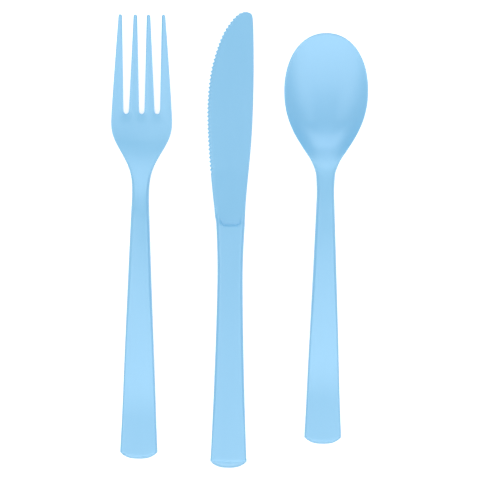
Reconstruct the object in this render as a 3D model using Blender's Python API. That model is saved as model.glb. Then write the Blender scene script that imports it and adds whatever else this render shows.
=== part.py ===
"""Plastic cutlery set: a fork, a knife and a spoon, each moulded in one piece.

The three lie face up beside each other on the XY plane. +Y runs from the handles' ends towards the
tines, the knife's point and the bowl, +X is to the right and +Z is up. The origin is on the table,
at the middle of the set's footprint. Lengths are in metres.

Each moulding is a grid of cross lines. A cross line is a function that gives the place of a column's
point on the upper face or on the underside, so the grid, once extruded, closes into one solid.
"""

from bisect import bisect_left
from math import hypot

import bmesh
import bpy
from mathutils import Vector

# Where the pieces lie: distances between the middle lines, and how far the two shorter pieces'
# middles lie towards the tips from the knife's
FORK_TO_KNIFE = 0.0375
KNIFE_TO_SPOON = 0.0393
SHORT_PIECES_OFFSET = 0.0008

# Handles, the same on every piece
WALL = 0.0016
HANDLE_BEND = 0.0070
CORNER_INSET = 0.0006
END_BOW = 0.0027
END_BOW_FADE = 0.0150
HANDLE_CROWN = 0.0005
NARROW_FACET = 0.0004
WIDE_FACET = 0.0012

# Fork, from the handle's end to the tips
FORK_FLAT_LENGTH = 0.0245
FORK_HANDLE_LENGTH = 0.1085
FORK_CREST_LENGTH = 0.0070
FORK_CREST_BEFORE_NECK = 0.0075
FORK_BELLY_PAST_NECK = 0.0240
FORK_SHOULDER_LENGTH = 0.0325
FORK_PALM_LENGTH = 0.0041
FORK_TINE_LENGTH = 0.0399
FORK_END_WIDTH = 0.0156
FORK_NECK_WIDTH = 0.0071
FORK_HEAD_WIDTH = 0.0255
FORK_TIPS_WIDTH = 0.0194
FORK_RIM_DEPTH = 0.0040
FORK_CREST_HEIGHT = 0.0112
FORK_TIP_RISE = 0.0067
FORK_END_SLOPE = 0.0013
FORK_PLATE = 0.0019
FORK_DISH = 0.0008
SLOT_ROOT_WIDTH = 0.0023
SLOT_SPACING = 0.0065
OUTER_SLOT_TIP_WIDTH = 0.0048
MIDDLE_SLOT_TIP_WIDTH = 0.0040
TINE_TIP_WIDTH = 0.00145
TINE_EDGE_DROP = 0.0004
TINE_TIP_ROUNDING = 0.0005

# Knife, from the handle's end to the point
KNIFE_HANDLE_LENGTH = 0.1015
KNIFE_WAIST_AT = 0.0810
KNIFE_END_WIDTH = 0.0153
KNIFE_WAIST_WIDTH = 0.0106
KNIFE_BOLSTER_WIDTH = 0.0120
KNIFE_END_DEPTH = 0.0042
KNIFE_BOLSTER_DEPTH = 0.0055
KNIFE_END_SLOPE = 0.0031
KNIFE_FACET_FADE_FROM = 0.0150
KNIFE_FACET_FADE_TO = 0.0300
BOLSTER_STEP_LENGTH = 0.0008
BOLSTER_BOW = 0.0012
BLADE_LENGTH = 0.0890
BLADE_EDGE_REACH = 0.0103
BLADE_BACK_REACH = 0.0091
BLADE_THICKNESS = 0.0018
BLADE_EDGE_THICKNESS = 0.0007
BLADE_BASE_HEIGHT = 0.0012
BEVEL_WIDTH = 0.0015
TOOTH_PITCH = 0.0017
TOOTH_DEPTH = 0.0005
TOOTHLESS_LENGTH = 0.0225

# Spoon, from the handle's end to the tip
SPOON_FLAT_LENGTH = 0.0265
SPOON_HANDLE_LENGTH = 0.1040
SPOON_CREST_LENGTH = 0.0070
SPOON_CREST_BEFORE_NECK = 0.0050
SPOON_BELLY_PAST_NECK = 0.0310
SPOON_SHOULDER_LENGTH = 0.0430
SPOON_TIP_LENGTH = 0.0242
SPOON_END_WIDTH = 0.0154
SPOON_NECK_WIDTH = 0.0072
SPOON_BOWL_WIDTH = 0.0349
SPOON_RIM_DEPTH = 0.0040
SPOON_CREST_HEIGHT = 0.0120
SPOON_END_SLOPE = 0.0013
SPOON_TIP_RISE = 0.0004
BOWL_DEPTH = 0.0066
BOWL_WALL = 0.0014
BOWL_MOUTH_FROM_NECK = 0.0040

# Shapes that have no size of their own: how a line swells or bends between two named sizes, as
# (share of the way, share of the change)
SPOON_SHOULDER_SHAPE = (
    (0.0, 0.0), (0.18, 0.02), (0.30, 0.134), (0.456, 0.441),
    (0.61, 0.72), (0.765, 0.905), (0.9, 0.985), (1.0, 1.0),
)
# The blade's edge and back, as (share of the reach, share of the blade's length)
BLADE_EDGE_SHAPE = (
    (-0.74, 0.12), (-0.92, 0.33), (-1.0, 0.50), (-0.98, 0.61), (-0.87, 0.72),
    (-0.65, 0.82), (-0.38, 0.90), (-0.04, 0.96), (0.22, 0.99), (0.42, 1.0),
)
BLADE_BACK_SHAPE = (
    (0.70, 0.12), (0.93, 0.41), (1.0, 0.66), (0.985, 0.86), (0.94, 0.97), (0.87, 0.992), (0.72, 1.0),
)
FORK_SHOULDER_POWER = 1.29
FORK_HEAD_TAPER_POWER = 1.12
HANDLE_RISE_POWER = 1.7
RIM_FADE_SHARE = 0.92
TIP_RISE_POWER = 1.35
KNIFE_TAPER_POWER = 1.5
KNIFE_FLARE_POWER = 1.8
END_BOW_POWER = 3.0
BOLSTER_BOW_POWER = 4.0
BOWL_OUTLINE_POWER = 2.15
BOWL_FLOOR_POWER = 2.3
BOWL_RISE_POWER = 2.2

# How finely each moulding is divided
WIDE_COLUMNS = 15
KNIFE_COLUMNS = 9
HANDLE_LINES = 20
HEAD_LINES = 14
TINE_LINES = 9
BOWL_LINES = 12
HEEL_LINES = 5
LINE_READINGS = 12

PLASTIC_COLOUR = (0.345, 0.640, 0.890, 1.0)
PLASTIC_ROUGHNESS = 0.32


def mix(start, end, share):
    """The value at a share of the way from start to end."""
    return start + (end - start) * share


def share_of(value, start, end):
    """How far a value lies between start and end, from 0 to 1."""
    return min(1.0, max(0.0, (value - start) / (end - start)))


def ease(share):
    """A share that starts and stops gently."""
    return share * share * (3.0 - 2.0 * share)


def soft_ease(share):
    """A share that starts and stops more gently still, and is steeper between."""
    return share ** 3 * (share * (6.0 * share - 15.0) + 10.0)


def rounded_start(share, bend):
    """A share that stays at zero and then rises, with a rounded bend on both sides of its start."""
    if share >= bend:
        return share
    return max(0.0, share + bend) ** 2 / (4.0 * bend)


def spaced(start, end, count):
    """count values from just after start up to end, evenly apart."""
    return [mix(start, end, (number + 1) / count) for number in range(count)]


def through(shape, share):
    """The height of a smooth line through a shape's points, which rise steadily."""
    places = [point[0] for point in shape]
    heights = [point[1] for point in shape]
    right = min(max(bisect_left(places, share), 1), len(shape) - 1)
    left = right - 1
    rises = [(heights[n + 1] - heights[n]) / (places[n + 1] - places[n]) for n in range(len(shape) - 1)]
    slopes = [0.0]
    slopes += [2.0 * a * b / (a + b) for a, b in zip(rises, rises[1:])]
    slopes += [0.0]
    span = places[right] - places[left]
    part = share_of(share, places[left], places[right])
    bend_left = slopes[left] * span * part * (1.0 - part) ** 2
    bend_right = slopes[right] * span * part ** 2 * (1.0 - part)
    return mix(heights[left], heights[right], ease(part)) + bend_left - bend_right


class OutlineLine:
    """A smooth flat line through a few points, read by the share of its length."""

    def __init__(self, points):
        ends = [points[0] * 2 - points[1], *points, points[-1] * 2 - points[-2]]
        self.readings = [points[0]]
        for before, start, end, after in zip(ends, ends[1:], ends[2:], ends[3:]):
            for number in range(LINE_READINGS):
                part = (number + 1) / LINE_READINGS
                curve = (end - before) * part
                curve += (before * 2 - start * 5 + end * 4 - after) * part ** 2
                curve += (start * 3 - before - end * 3 + after) * part ** 3
                self.readings.append(start + curve / 2)
        self.distances = [0.0]
        for start, end in zip(self.readings, self.readings[1:]):
            self.distances.append(self.distances[-1] + (end - start).length)

    def length(self):
        """The whole length of the line."""
        return self.distances[-1]

    def at(self, share):
        """The point at a share of the line's length."""
        distance = share * self.length()
        right = min(max(bisect_left(self.distances, distance), 1), len(self.readings) - 1)
        part = share_of(distance, self.distances[right - 1], self.distances[right])
        return self.readings[right - 1].lerp(self.readings[right], part)


def channel_point(column, columns, half, facet, top, depth, underside):
    """Across a handle: feet of the rim at both sides, and a slightly crowned top between them."""
    inset = WALL if underside else 0.0
    last = columns - 1
    if column in (0, last):
        foot = half - inset
        return (foot if column else -foot), top - depth
    flat = half - facet - inset
    across = 2.0 * (column - 1) / (last - 2) - 1.0
    return flat * across, top + HANDLE_CROWN * (1.0 - across ** 2) - inset


def end_lines(columns, half_at, facet, top, depth, slope):
    """The two cross lines that close a handle's end: the foot of its rim, and the top's edge."""

    def closing_line(y, height, narrowed):
        def place(column, underside):
            half = half_at(y) - narrowed
            x, z = channel_point(column, columns, half, facet, top, depth, underside)
            inward = WALL if underside else 0.0
            bow = END_BOW * abs(x / half) ** END_BOW_POWER
            return Vector((x, y + bow + inward, z if height is None else height))
        return place

    return [closing_line(0.0, top - depth, CORNER_INSET), closing_line(slope, None, 0.0)]


def bowed(y, x, half):
    """How far a cross line near the handle's end bows towards the tips at a point of it."""
    return END_BOW * abs(x / half) ** END_BOW_POWER * (1.0 - share_of(y, 0.0, END_BOW_FADE))


def mould(name, columns, lines, place_at, is_open=None):
    """One closed moulding: a grid, open where is_open says, thickened, and each point put in place."""
    mesh = bmesh.new()
    rows = len(lines)
    bmesh.ops.create_grid(mesh, x_segments=columns - 1, y_segments=rows - 1, size=0.5)
    for vertex in mesh.verts:
        vertex.co.x = (vertex.co.x + 0.5) * (columns - 1)
        vertex.co.y = (vertex.co.y + 0.5) * (rows - 1)
    if is_open:
        centres = {face: face.calc_center_median() for face in mesh.faces}
        gaps = [face for face, centre in centres.items() if is_open(int(centre.x), int(centre.y))]
        bmesh.ops.delete(mesh, geom=gaps, context="FACES")
    thickened = bmesh.ops.extrude_face_region(mesh, geom=mesh.faces[:])
    lower = [item for item in thickened["geom"] if isinstance(item, bmesh.types.BMVert)]
    bmesh.ops.translate(mesh, verts=lower, vec=(0.0, 0.0, -1.0))
    for vertex in mesh.verts:
        underside = vertex.co.z < -0.5
        vertex.co = lines[round(vertex.co.y)](round(vertex.co.x), underside)
    bmesh.ops.recalc_face_normals(mesh, faces=mesh.faces[:])

    data = bpy.data.meshes.new(name)
    mesh.to_mesh(data)
    mesh.free()
    data.shade_smooth()
    data.set_sharp_from_angle(angle=0.6)
    data.materials.append(plastic(name))
    moulding = bpy.data.objects.new(name, data)
    moulding.location = place_at
    return moulding


def plastic(name):
    """Pale blue plastic with a soft gloss."""
    material = bpy.data.materials.new(f"{name}_plastic")
    material.use_nodes = True
    shader = material.node_tree.nodes["Principled BSDF"]
    shader.inputs["Base Color"].default_value = PLASTIC_COLOUR
    shader.inputs["Roughness"].default_value = PLASTIC_ROUGHNESS
    shader.inputs["Metallic"].default_value = 0.0
    return material


def side_height(y, flat_to, crest_from, crest_to, belly_at, tip_at, heights):
    """Height of a fork's or spoon's side line: flat end, long rise, crest, drop, and the tip's rise."""
    end_height, crest_height, belly_height, tip_height = heights
    if y <= crest_from:
        rise_length = crest_from - flat_to
        share = rounded_start((y - flat_to) / rise_length, HANDLE_BEND / rise_length)
        return mix(end_height, crest_height, 1.0 - (1.0 - share) ** HANDLE_RISE_POWER)
    if y <= belly_at:
        return mix(crest_height, belly_height, ease(share_of(y, crest_to, belly_at)))
    return mix(belly_height, tip_height, share_of(y, belly_at, tip_at) ** TIP_RISE_POWER)


# The fork

FORK_CREST_TO = FORK_HANDLE_LENGTH - FORK_CREST_BEFORE_NECK
FORK_BELLY_AT = FORK_HANDLE_LENGTH + FORK_BELLY_PAST_NECK
FORK_WIDEST_AT = FORK_HANDLE_LENGTH + FORK_SHOULDER_LENGTH
FORK_ROOT_AT = FORK_WIDEST_AT + FORK_PALM_LENGTH
FORK_LENGTH = FORK_ROOT_AT + FORK_TINE_LENGTH


def fork_half(y):
    """Half the fork's width."""
    if y <= FORK_HANDLE_LENGTH:
        return mix(FORK_END_WIDTH, FORK_NECK_WIDTH, y / FORK_HANDLE_LENGTH) / 2
    if y <= FORK_WIDEST_AT:
        swell = share_of(y, FORK_HANDLE_LENGTH, FORK_WIDEST_AT) ** FORK_SHOULDER_POWER
        return mix(FORK_NECK_WIDTH, FORK_HEAD_WIDTH, soft_ease(swell)) / 2
    taper = share_of(y, FORK_WIDEST_AT, FORK_LENGTH) ** FORK_HEAD_TAPER_POWER
    return mix(FORK_HEAD_WIDTH, FORK_TIPS_WIDTH, taper) / 2


def fork_height(y):
    """Height of the fork's upper face along its middle."""
    crest_from = FORK_CREST_TO - FORK_CREST_LENGTH
    heights = (FORK_RIM_DEPTH, FORK_CREST_HEIGHT, FORK_PLATE, FORK_PLATE + FORK_TIP_RISE)
    marks = (FORK_FLAT_LENGTH, crest_from, FORK_CREST_TO, FORK_BELLY_AT, FORK_LENGTH)
    return side_height(y, *marks, heights)


def handle_facet(y, handle_length):
    """Width of the sloped facet beside a handle's top, which widens towards the neck."""
    return mix(NARROW_FACET, WIDE_FACET, ease(share_of(y, handle_length * 0.4, handle_length * 0.7)))


def tine_columns(y):
    """Where the head's columns cross at y: tine edges, tine middles and slot middles, left to right."""
    share = share_of(y, FORK_ROOT_AT, FORK_LENGTH)
    outer = fork_half(max(y, FORK_ROOT_AT))
    middle_slot = mix(SLOT_ROOT_WIDTH, MIDDLE_SLOT_TIP_WIDTH, share) / 2
    outer_slot = mix(SLOT_ROOT_WIDTH, OUTER_SLOT_TIP_WIDTH, share) / 2
    tip_slot = MIDDLE_SLOT_TIP_WIDTH / 2 + TINE_TIP_WIDTH + OUTER_SLOT_TIP_WIDTH / 2
    slot = mix(SLOT_SPACING, tip_slot, share)
    edges = [slot + outer_slot, slot - outer_slot]
    inner_tine = (middle_slot + edges[1]) / 2
    outer_tine = (edges[0] + outer) / 2
    right = [middle_slot, inner_tine, edges[1], slot, edges[0], outer_tine, outer]
    narrowed = fork_half(y) / outer
    right = [x * narrowed for x in right]
    return [-x for x in reversed(right)] + [0.0] + right


def fork_head_point(column, y, underside):
    """On the fork's head: a dished plate, whose tines are highest along their middles."""
    x = tine_columns(y)[column]
    dish = FORK_DISH * (x / fork_half(y)) ** 2
    if underside:
        return x, fork_height(y) + dish - FORK_PLATE
    is_edge = column in (0, 2, 4, 6, 8, 10, 12, 14)
    drop = TINE_EDGE_DROP * share_of(y, FORK_WIDEST_AT, FORK_ROOT_AT) if is_edge else 0.0
    return x, fork_height(y) + dish - drop


def fork_line(y):
    """A cross line of the fork, where the handle's channel opens out into the head's plate."""

    def place(column, underside):
        half = fork_half(y)
        facet = handle_facet(y, FORK_HANDLE_LENGTH)
        handle = channel_point(column, WIDE_COLUMNS, half, facet, fork_height(y), FORK_RIM_DEPTH, underside)
        head = fork_head_point(column, y, underside)
        fade_to = mix(FORK_HANDLE_LENGTH, FORK_BELLY_AT, RIM_FADE_SHARE)
        opened = ease(share_of(y, FORK_HANDLE_LENGTH, fade_to))
        x = mix(handle[0], head[0], opened)
        z = mix(handle[1], head[1], opened)
        return Vector((x, y + bowed(y, x, half), z))

    return place


def fork_root_line(column, underside):
    """The cross line at the slots' roots, drawn back at each slot's middle to round the root."""
    point = fork_line(FORK_ROOT_AT)(column, underside)
    if column in (3, 7, 11):
        point.y -= SLOT_ROOT_WIDTH / 2
    return point


def fork_tip_line(column, underside):
    """The last cross line, drawn in at the tines' edges to round their tips."""
    point = fork_line(FORK_LENGTH)(column, underside)
    if column in (0, 2, 4, 6, 8, 10, 12, 14):
        middle = tine_columns(FORK_LENGTH)[1 + 4 * (column // 4)]
        point.x = mix(point.x, middle, TINE_TIP_ROUNDING / TINE_TIP_WIDTH)
        point.y -= TINE_TIP_ROUNDING
    return point


def build_fork(place_at):
    """The fork: four tines on a dished head."""
    ending = (WIDE_COLUMNS, fork_half, NARROW_FACET, FORK_RIM_DEPTH, FORK_RIM_DEPTH, FORK_END_SLOPE)
    lines = end_lines(*ending)
    lines += [fork_line(y) for y in spaced(FORK_END_SLOPE * 2, FORK_HANDLE_LENGTH, HANDLE_LINES)]
    lines += [fork_line(y) for y in spaced(FORK_HANDLE_LENGTH, FORK_ROOT_AT - SLOT_ROOT_WIDTH, HEAD_LINES)]
    root_row = len(lines)
    lines.append(fork_root_line)
    lines += [fork_line(y) for y in spaced(FORK_ROOT_AT, FORK_LENGTH - TINE_TIP_ROUNDING * 2, TINE_LINES)]
    lines.append(fork_tip_line)

    def in_slot(column, row):
        return row >= root_row and column in (2, 3, 6, 7, 10, 11)

    return mould("fork", WIDE_COLUMNS, lines, place_at, in_slot)


# The knife

KNIFE_LENGTH = KNIFE_HANDLE_LENGTH + BLADE_LENGTH


def knife_half(y):
    """Half the knife handle's width, narrowest at the waist."""
    if y <= KNIFE_WAIST_AT:
        tapered = (1.0 - y / KNIFE_WAIST_AT) ** KNIFE_TAPER_POWER
        return mix(KNIFE_WAIST_WIDTH, KNIFE_END_WIDTH, tapered) / 2
    flared = share_of(y, KNIFE_WAIST_AT, KNIFE_HANDLE_LENGTH) ** KNIFE_FLARE_POWER
    return mix(KNIFE_WAIST_WIDTH, KNIFE_BOLSTER_WIDTH, flared) / 2


def knife_handle_line(y):
    """A cross line of the knife's handle, bowed near its end and again at the bolster."""

    def place(column, underside):
        half = knife_half(y)
        top = mix(KNIFE_END_DEPTH, KNIFE_BOLSTER_DEPTH, y / KNIFE_HANDLE_LENGTH)
        facet = mix(NARROW_FACET, WIDE_FACET, ease(share_of(y, KNIFE_FACET_FADE_FROM, KNIFE_FACET_FADE_TO)))
        x, z = channel_point(column, KNIFE_COLUMNS, half, facet, top, top, underside)
        drawn = bolster_bow(x / half, y - KNIFE_HANDLE_LENGTH)
        return Vector((x, y + bowed(y, x, half) - drawn, z))

    return place


def bolster_bow(across, past):
    """How far a cross line past or short of the bolster is drawn towards the handle."""
    near = 1.0 - share_of(abs(past), 0.0, BOLSTER_BOW * 4)
    return BOLSTER_BOW * (1.0 - abs(across) ** BOLSTER_BOW_POWER) * near


def blade_outline(shape, reach, side):
    """A blade's edge or back: from the bolster, through its shape's points."""
    start = Vector((side * KNIFE_BOLSTER_WIDTH / 2, KNIFE_HANDLE_LENGTH + BOLSTER_STEP_LENGTH))
    points = [Vector((x * reach, KNIFE_HANDLE_LENGTH + y * BLADE_LENGTH)) for x, y in shape]
    return OutlineLine([start, *points])


def blade_line(edge, back, share, is_notch):
    """A cross line of the blade, from its bevelled edge to its back, notched between two teeth."""

    def place(column, underside):
        start = edge.at(share)
        end = back.at(share)
        width = (end - start).length
        if column == 0:
            inward = TOOTH_DEPTH if is_notch else 0.0
            thickness = BLADE_EDGE_THICKNESS
        else:
            flat_share = (column - 1) / (KNIFE_COLUMNS - 2)
            inward = mix(min(BEVEL_WIDTH + TOOTH_DEPTH, width / 3), width, flat_share)
            thickness = BLADE_THICKNESS
        point = start.lerp(end, inward / width)
        drawn = bolster_bow(2.0 * inward / width - 1.0, point.y - KNIFE_HANDLE_LENGTH)
        middle = BLADE_BASE_HEIGHT + BLADE_THICKNESS / 2
        height = middle - thickness / 2 if underside else middle + thickness / 2
        return Vector((point.x, point.y - drawn, height))

    return place


def build_knife(place_at):
    """The knife: a toothed blade, lower than its handle's top."""
    edge = blade_outline(BLADE_EDGE_SHAPE, BLADE_EDGE_REACH, -1)
    back = blade_outline(BLADE_BACK_SHAPE, BLADE_BACK_REACH, 1)
    heel_share = TOOTHLESS_LENGTH / edge.length()
    teeth = max(1, round((edge.length() - TOOTHLESS_LENGTH) / TOOTH_PITCH))
    ending = (KNIFE_COLUMNS, knife_half, NARROW_FACET, KNIFE_END_DEPTH, KNIFE_END_DEPTH, KNIFE_END_SLOPE)
    lines = end_lines(*ending)
    handle_stations = spaced(KNIFE_END_SLOPE * 1.5, KNIFE_HANDLE_LENGTH, HANDLE_LINES)
    lines += [knife_handle_line(y) for y in handle_stations]
    lines.append(blade_line(edge, back, 0.0, False))
    lines += [blade_line(edge, back, share, False) for share in spaced(0.0, heel_share, HEEL_LINES)]
    for number, share in enumerate(spaced(heel_share, 1.0, 2 * teeth)):
        lines.append(blade_line(edge, back, share, number % 2 == 0))
    return mould("knife", KNIFE_COLUMNS, lines, place_at)


# The spoon

SPOON_CREST_TO = SPOON_HANDLE_LENGTH - SPOON_CREST_BEFORE_NECK
SPOON_BELLY_AT = SPOON_HANDLE_LENGTH + SPOON_BELLY_PAST_NECK
SPOON_WIDEST_AT = SPOON_HANDLE_LENGTH + SPOON_SHOULDER_LENGTH
SPOON_LENGTH = SPOON_WIDEST_AT + SPOON_TIP_LENGTH


def spoon_half(y):
    """Half the spoon's width."""
    if y <= SPOON_HANDLE_LENGTH:
        return mix(SPOON_END_WIDTH, SPOON_NECK_WIDTH, y / SPOON_HANDLE_LENGTH) / 2
    if y <= SPOON_WIDEST_AT:
        swell = through(SPOON_SHOULDER_SHAPE, share_of(y, SPOON_HANDLE_LENGTH, SPOON_WIDEST_AT))
        return mix(SPOON_NECK_WIDTH, SPOON_BOWL_WIDTH, swell) / 2
    forward = share_of(y, SPOON_WIDEST_AT, SPOON_LENGTH)
    return SPOON_BOWL_WIDTH / 2 * (1.0 - forward ** BOWL_OUTLINE_POWER) ** (1.0 / BOWL_OUTLINE_POWER)


def spoon_rim_height(y):
    """Height of the spoon's upper face at the bowl's rim, and of its handle's top."""
    crest_from = SPOON_CREST_TO - SPOON_CREST_LENGTH
    rim_height = BOWL_WALL + BOWL_DEPTH
    heights = (SPOON_RIM_DEPTH, SPOON_CREST_HEIGHT, rim_height, rim_height + SPOON_TIP_RISE)
    marks = (SPOON_FLAT_LENGTH, crest_from, SPOON_CREST_TO, SPOON_BELLY_AT, SPOON_LENGTH)
    return side_height(y, *marks, heights)


def bowl_height(x, y, underside):
    """Height in the bowl, which is deepest at the belly and shallows towards its rim and its tip."""
    mouth = SPOON_HANDLE_LENGTH + BOWL_MOUTH_FROM_NECK
    depth = BOWL_DEPTH * ease(share_of(y, mouth, SPOON_BELLY_AT))
    depth *= 1.0 - share_of(y, SPOON_BELLY_AT, SPOON_LENGTH) ** BOWL_RISE_POWER
    half = spoon_half(y)
    outward = min(1.0, abs(x) / half) if half > 0.0 else 1.0
    wall = BOWL_WALL if underside else 0.0
    return spoon_rim_height(y) - depth * (1.0 - outward ** BOWL_FLOOR_POWER) - wall


def spoon_line(y):
    """A cross line of the spoon, where the handle's channel opens out into the bowl."""

    def place(column, underside):
        half = spoon_half(y)
        facet = handle_facet(y, SPOON_HANDLE_LENGTH)
        top = spoon_rim_height(y)
        handle = channel_point(column, WIDE_COLUMNS, half, facet, top, SPOON_RIM_DEPTH, underside)
        across = 2.0 * column / (WIDE_COLUMNS - 1) - 1.0
        bowl = (half * across, bowl_height(half * across, y, underside))
        opened = ease(share_of(y, SPOON_HANDLE_LENGTH, SPOON_HANDLE_LENGTH + SPOON_SHOULDER_LENGTH * 0.5))
        x = mix(handle[0], bowl[0], opened)
        z = mix(handle[1], bowl[1], opened)
        return Vector((x, y + bowed(y, x, half), z))

    return place


def bowl_tip_line(share):
    """A cross line of the bowl past its widest part, curved so that the last one is the tip itself."""

    def place(column, underside):
        across = 2.0 * column / (WIDE_COLUMNS - 1) - 1.0
        sideways = across * (1.0 - share ** 2 / 2) ** 0.5
        forward = share * (1.0 - across ** 2 / 2) ** 0.5
        radius = hypot(sideways, forward)
        power = BOWL_OUTLINE_POWER
        if radius > 0.0:
            squareness = (abs(sideways) ** power + forward ** power) ** (1.0 / power)
            sideways *= radius / squareness
            forward *= radius / squareness
        x = sideways * SPOON_BOWL_WIDTH / 2
        y = SPOON_WIDEST_AT + forward * SPOON_TIP_LENGTH
        return Vector((x, y, bowl_height(x, y, underside)))

    return place


def build_spoon(place_at):
    """The spoon: an oval bowl."""
    ending = (WIDE_COLUMNS, spoon_half, NARROW_FACET, SPOON_RIM_DEPTH, SPOON_RIM_DEPTH, SPOON_END_SLOPE)
    lines = end_lines(*ending)
    lines += [spoon_line(y) for y in spaced(SPOON_END_SLOPE * 2, SPOON_HANDLE_LENGTH, HANDLE_LINES)]
    lines += [spoon_line(y) for y in spaced(SPOON_HANDLE_LENGTH, SPOON_WIDEST_AT, HEAD_LINES)]
    lines += [bowl_tip_line(share) for share in spaced(0.0, 1.0, BOWL_LINES)]
    return mould("spoon", WIDE_COLUMNS, lines, place_at)


def main():
    """Clears the scene and lays the three pieces beside each other."""
    for existing in list(bpy.data.objects):
        bpy.data.objects.remove(existing)
    collection = bpy.data.collections.new("plastic_cutlery_set")
    bpy.context.scene.collection.children.link(collection)

    left = -FORK_TO_KNIFE - FORK_HEAD_WIDTH / 2
    right = KNIFE_TO_SPOON + SPOON_BOWL_WIDTH / 2
    knife_x = -(left + right) / 2
    fork_at = Vector((knife_x - FORK_TO_KNIFE, SHORT_PIECES_OFFSET - FORK_LENGTH / 2, 0.0))
    knife_at = Vector((knife_x, -KNIFE_LENGTH / 2, 0.0))
    spoon_at = Vector((knife_x + KNIFE_TO_SPOON, SHORT_PIECES_OFFSET - SPOON_LENGTH / 2, 0.0))
    collection.objects.link(build_fork(fork_at))
    collection.objects.link(build_knife(knife_at))
    collection.objects.link(build_spoon(spoon_at))


main()
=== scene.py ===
"""Looks of a plastic cutlery set: a fork, a knife and a spoon of pale blue plastic, lying face up.

Each moulding is one mesh: a grid of cross lines, open where there are slots, thickened and put in
place point by point. Its edges are rounded, and it is then subdivided once. +Y runs from the
handles' ends to the tips, the table is at z = 0, and lengths are in metres.
"""

import logging
from bisect import bisect_left
from dataclasses import dataclass, field
from enum import Enum
from math import hypot, pi, radians, sin, sqrt

import bmesh
import bpy
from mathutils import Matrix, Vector


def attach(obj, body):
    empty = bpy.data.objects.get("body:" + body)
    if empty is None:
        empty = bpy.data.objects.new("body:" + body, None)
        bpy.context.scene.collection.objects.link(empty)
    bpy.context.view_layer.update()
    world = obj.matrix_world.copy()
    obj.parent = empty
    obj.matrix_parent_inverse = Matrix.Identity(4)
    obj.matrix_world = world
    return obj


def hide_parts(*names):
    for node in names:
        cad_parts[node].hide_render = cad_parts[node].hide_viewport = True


logging.basicConfig(level=logging.INFO, format="%(message)s")
LOG = logging.getLogger("cutlery")

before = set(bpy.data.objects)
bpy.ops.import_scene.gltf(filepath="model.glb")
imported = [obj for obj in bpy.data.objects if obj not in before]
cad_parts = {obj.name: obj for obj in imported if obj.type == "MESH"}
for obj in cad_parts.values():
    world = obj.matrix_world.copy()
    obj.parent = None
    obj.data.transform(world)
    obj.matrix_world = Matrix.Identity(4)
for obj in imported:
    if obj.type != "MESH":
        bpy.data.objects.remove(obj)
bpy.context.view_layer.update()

# The three outermost columns, and rows at an end, make the turn from the top down to the side wall
RINGS = 3
# Edges that bend by more than this are rounded
SHARP_ANGLE = radians(48.0)
# Readings of an outline between two of its points
LINE_READINGS = 12
# Cross lines to one tooth of the knife, and faces across one slot of the fork
TOOTH_LINES = 4
SLOT_FACES = 4


class Face(Enum):
    """The face of a moulding that a point of its grid lies on."""

    UPPER = "upper"
    UNDERSIDE = "underside"


def mix(start: float, end: float, share: float) -> float:
    """The value at a share of the way from start to end."""
    return start + (end - start) * share


def share_of(value: float, start: float, end: float) -> float:
    """How far a value lies between start and end, from 0 to 1."""
    return min(1.0, max(0.0, (value - start) / (end - start)))


def ease(share: float) -> float:
    """A share that starts and stops gently."""
    return share * share * (3.0 - 2.0 * share)


def soft_ease(share: float) -> float:
    """A share that starts and stops more gently still, and is steeper between."""
    return share**3 * (share * (6.0 * share - 15.0) + 10.0)


def rounded_start(share: float, bend: float) -> float:
    """A share that stays at zero and then rises, with a rounded bend at its start.

    Args:
        share: The share, which is below 0 before the start.
        bend: How far the bend reaches on both sides of the start.

    Returns:
        The bent share.
    """
    if share >= bend:
        return share
    return max(0.0, share + bend) ** 2 / (4.0 * bend)


def spaced(start: float, end: float, count: int) -> list[float]:
    """Evenly spaced values from just after start up to end.

    Args:
        start: The value that the first one follows.
        end: The last value.
        count: How many values there are.

    Returns:
        The values, in order.
    """
    return [mix(start, end, (number + 1) / count) for number in range(count)]


def through(shape: tuple[tuple[float, float], ...], share: float) -> float:
    """The height of a smooth line through a shape's points, which rise steadily.

    Args:
        shape: Points as (share of the way, height).
        share: Where along the way the line is read.

    Returns:
        The line's height there.
    """
    places = [point[0] for point in shape]
    heights = [point[1] for point in shape]
    right = min(max(bisect_left(places, share), 1), len(shape) - 1)
    left = right - 1
    rises = [(heights[n + 1] - heights[n]) / (places[n + 1] - places[n]) for n in range(len(shape) - 1)]
    slopes = [0.0]
    slopes += [2.0 * a * b / (a + b) for a, b in zip(rises, rises[1:])]
    slopes += [0.0]
    span = places[right] - places[left]
    part = share_of(share, places[left], places[right])
    bend_left = slopes[left] * span * part * (1.0 - part) ** 2
    bend_right = slopes[right] * span * part**2 * (1.0 - part)
    return mix(heights[left], heights[right], ease(part)) + bend_left - bend_right


def add_node(tree: bpy.types.NodeTree, kind: str, values: dict[str, object] | None = None) -> bpy.types.Node:
    """Adds a node to a material or to the world.

    Args:
        tree: The nodes that it joins.
        kind: Its type, without the start that they all share.
        values: What its unlinked inputs are set to.

    Returns:
        The node.
    """
    node = tree.nodes.new(f"ShaderNode{kind}")
    for name, value in (values or {}).items():
        node.inputs[name].default_value = value
    return node


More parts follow.
